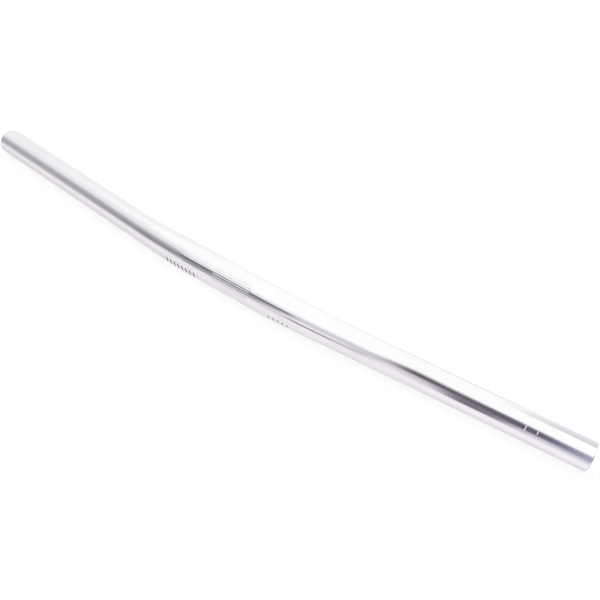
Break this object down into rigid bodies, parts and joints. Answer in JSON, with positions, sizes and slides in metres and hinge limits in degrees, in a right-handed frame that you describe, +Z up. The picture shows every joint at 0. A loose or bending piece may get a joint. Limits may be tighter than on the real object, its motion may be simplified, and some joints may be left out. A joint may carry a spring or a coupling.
{
  "type": "flat handlebar",
  "caption": "Flat bicycle handlebar of polished aluminium tube, thickest at the stem clamp, tapering through gentle bends to swept-back, open-ended grips.",
  "frame": {"origin": "middle of the stem clamp, on the tube's axis", "axes": "+X along the clamp to the right, -Y the front of the bar, the grips swept back towards +Y, +Z up"},
  "size_m": [0.5936, 0.0638, 0.0254],
  "materials": {
    "polished_aluminium": "polished"
  },
  "bodies": {
    "root": {"handlebar_tube": "polished_aluminium"}
  },
  "joints": []
}
